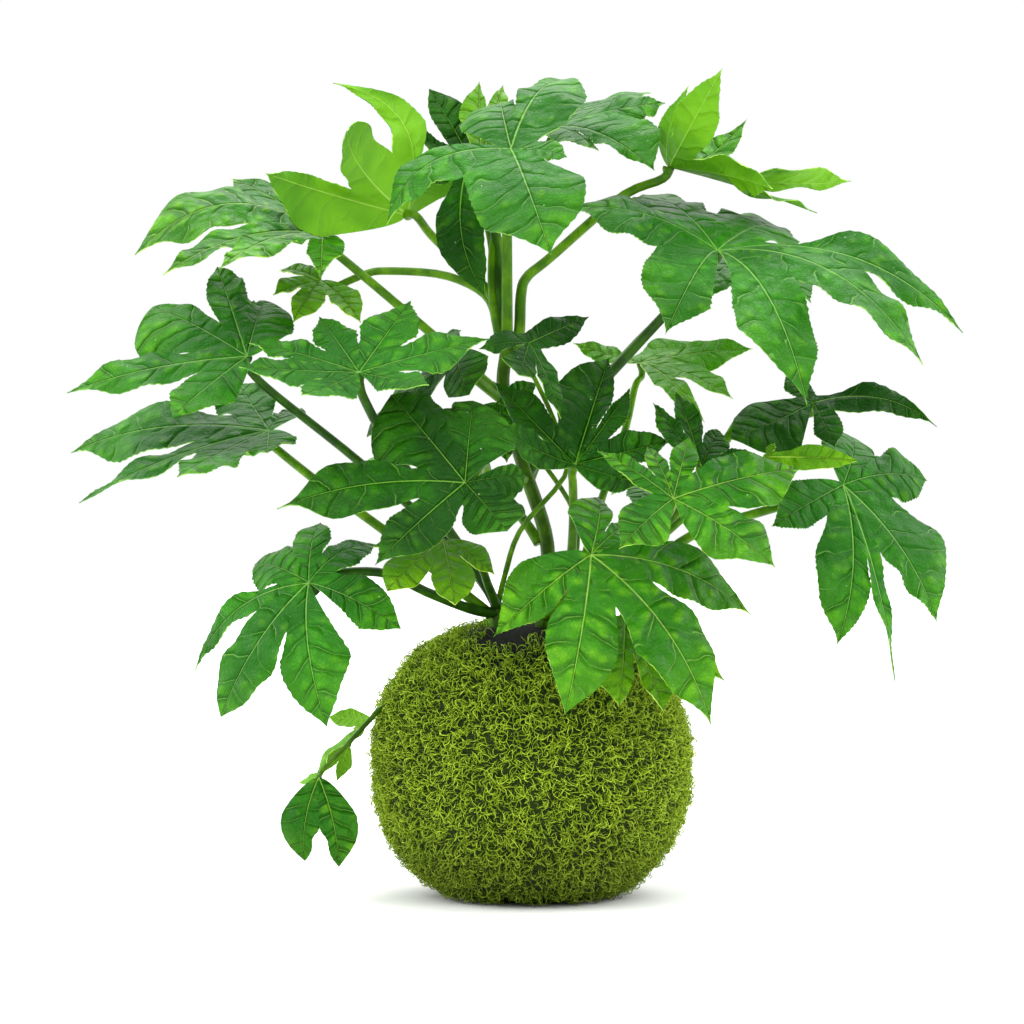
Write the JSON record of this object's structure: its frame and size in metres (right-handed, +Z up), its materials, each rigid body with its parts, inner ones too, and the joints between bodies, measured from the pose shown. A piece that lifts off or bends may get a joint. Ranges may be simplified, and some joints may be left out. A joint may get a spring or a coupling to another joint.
{
  "type": "potted foliage plant",
  "caption": "Fatsia japonica with lobed, hand-shaped evergreen leaves on long stalks, growing from a round moss ball that stands on its flat base.",
  "frame": {"origin": "middle of the moss ball's flat base", "axes": "+Z up, -Y towards the viewer of the picture, +X to the viewer's right"},
  "size_m": [0.4462, 0.2904, 0.4154],
  "materials": {
    "mature_leaf": "semi-gloss leathery green leaf",
    "dark_leaf": "glossy dark green leaf",
    "bright_leaf": "semi-gloss fresh green leaf",
    "young_leaf": "soft light green young leaf",
    "yellow_leaf": "yellow-green young leaf",
    "stalk": "smooth green stem",
    "moss": "matt curly green moss",
    "soil": "matt dark damp soil"
  },
  "bodies": {
    "root": {"moss_ball": "moss", "soil_crown": "soil", "shoot_main": "stalk", "shoot_left": "stalk", "shoot_right": "stalk", "shoot_front": "stalk", "shoot_back": "stalk", "shoot_trailing": "stalk", "leaf_upper_right": "mature_leaf", "leaf_top_right": "bright_leaf", "leaf_top_front": "mature_leaf", "leaf_top_side": "dark_leaf", "leaf_top_hanging": "dark_leaf", "leaf_top_behind": "mature_leaf", "leaf_top_young": "yellow_leaf", "leaf_upper_left": "bright_leaf", "leaf_far_upper_left": "bright_leaf", "leaf_small_left": "yellow_leaf", "leaf_left": "mature_leaf", "leaf_left_inner": "mature_leaf", "leaf_left_low": "mature_leaf", "leaf_centre_left": "dark_leaf", "leaf_front": "bright_leaf", "leaf_right_bright": "bright_leaf", "leaf_far_right": "mature_leaf", "leaf_right_flat": "dark_leaf", "leaf_right_slip": "yellow_leaf", "leaf_right_young": "young_leaf", "leaf_right_dark": "dark_leaf", "leaf_centre_dark": "dark_leaf", "leaf_centre_upper": "dark_leaf", "leaf_inner_left": "dark_leaf", "leaf_inner_young": "bright_leaf", "leaf_lower_left": "mature_leaf", "leaf_lower_bright": "yellow_leaf", "leaf_below_front": "yellow_leaf", "leaf_back_right": "mature_leaf", "leaf_back_left": "mature_leaf", "leaf_back_middle": "mature_leaf", "leaf_back_low": "bright_leaf", "leaflet_trailing_upper": "young_leaf", "leaflet_trailing_tip": "bright_leaf", "leaflet_trailing_strap": "bright_leaf", "leaflet_trailing_side": "yellow_leaf"}
  },
  "joints": []
}
